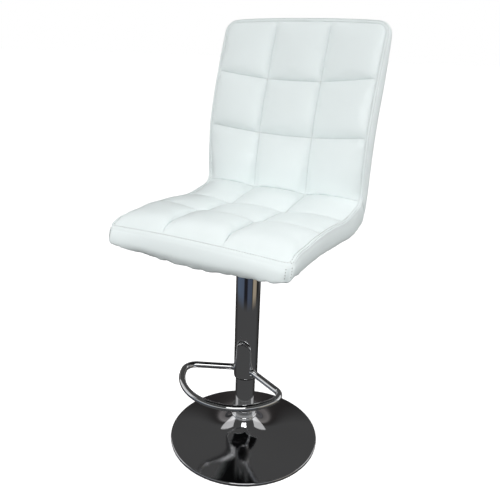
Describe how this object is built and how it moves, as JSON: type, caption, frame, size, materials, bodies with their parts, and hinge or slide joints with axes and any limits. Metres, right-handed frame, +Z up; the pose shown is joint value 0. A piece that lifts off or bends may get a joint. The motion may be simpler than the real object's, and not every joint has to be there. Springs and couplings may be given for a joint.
{
  "type": "adjustable swivel stool",
  "caption": "Height-adjustable swivel stool with a channel-quilted padded seat and back, a D-shaped footrest on a chrome column and a round trumpet base.",
  "frame": {"origin": "on the floor, on the column's axis, under the middle of the round base", "axes": "+Z up along the column, -Y towards the front edge of the seat, +X towards the sitter's left"},
  "size_m": [0.426, 0.5106, 1.042],
  "materials": {
    "chrome": "polished chrome plate",
    "steel": "plain machined steel",
    "black_steel": "satin black paint",
    "black_plastic": "moulded, matt",
    "black_rubber": "matt",
    "white_leather": "coated white leatherette, soft sheen",
    "foam": "open-cell foam",
    "plywood": "moulded plywood",
    "lining": "non-woven lining"
  },
  "bodies": {
    "base": {"base_dish": "chrome", "rim_gasket": "black_rubber", "ballast_plate": "black_steel", "base_hub": "steel", "column_collar": "chrome", "column_tube": "chrome", "guide_bush": "black_plastic", "lower_race": "steel"},
    "spindle": {"piston_rod": "steel", "rod_clip": "steel", "piston_head": "steel", "ball_cage": "steel", "upper_race": "steel", "bump_stop": "black_rubber"},
    "carriage": {"gas_cylinder": "black_steel", "rod_gland": "black_plastic", "sleeve_tube": "chrome", "sleeve_top_disc": "chrome", "sleeve_guide_ring": "black_plastic", "footrest_loop": "chrome", "taper_socket": "black_steel", "seat_plate": "black_steel", "mechanism_housing": "black_steel", "lever_pivot_pin": "steel", "seat_bolt_1": "steel", "seat_bolt_2": "steel", "seat_bolt_3": "steel", "seat_bolt_4": "steel", "tee_nut_1": "steel", "tee_nut_2": "steel", "tee_nut_3": "steel", "tee_nut_4": "steel", "shell_board": "plywood", "foam_seat": "foam", "foam_back": "foam", "quilted_panel": "white_leather", "dust_cover": "lining", "rear_cover": "white_leather", "front_band": "white_leather", "seat_band_left": "white_leather", "seat_band_right": "white_leather", "back_band": "white_leather"},
    "lever": {"lever_rod": "chrome", "lever_grip": "black_plastic"},
    "valve": {"valve_pin": "steel"}
  },
  "joints": [
    {"name": "seat_swivel", "type": "hinge", "parent": "base", "child": "spindle", "pos_m": [0, 0, 0.02], "axis": [0, 0, 1], "continuous": true},
    {"name": "seat_height", "type": "slide", "parent": "spindle", "child": "carriage", "axis": [0, 0, 1], "range_m": [0, 0.21]},
    {"name": "lever_lift", "type": "hinge", "parent": "carriage", "child": "lever", "pos_m": [-0.024, 0, 0.556], "axis": [0, 1, 0], "range_deg": [0, 10], "stiffness_Nm_per_rad": 1.5, "springref_deg": -5.73},
    {"name": "valve_press", "type": "slide", "parent": "carriage", "child": "valve", "axis": [0, 0, -1], "range_m": [0, 0.0045]}
  ],
  "couplings": [
    {"joint": "valve_press", "follows": "lever_lift", "m_per_rad": 0.024}
  ]
}
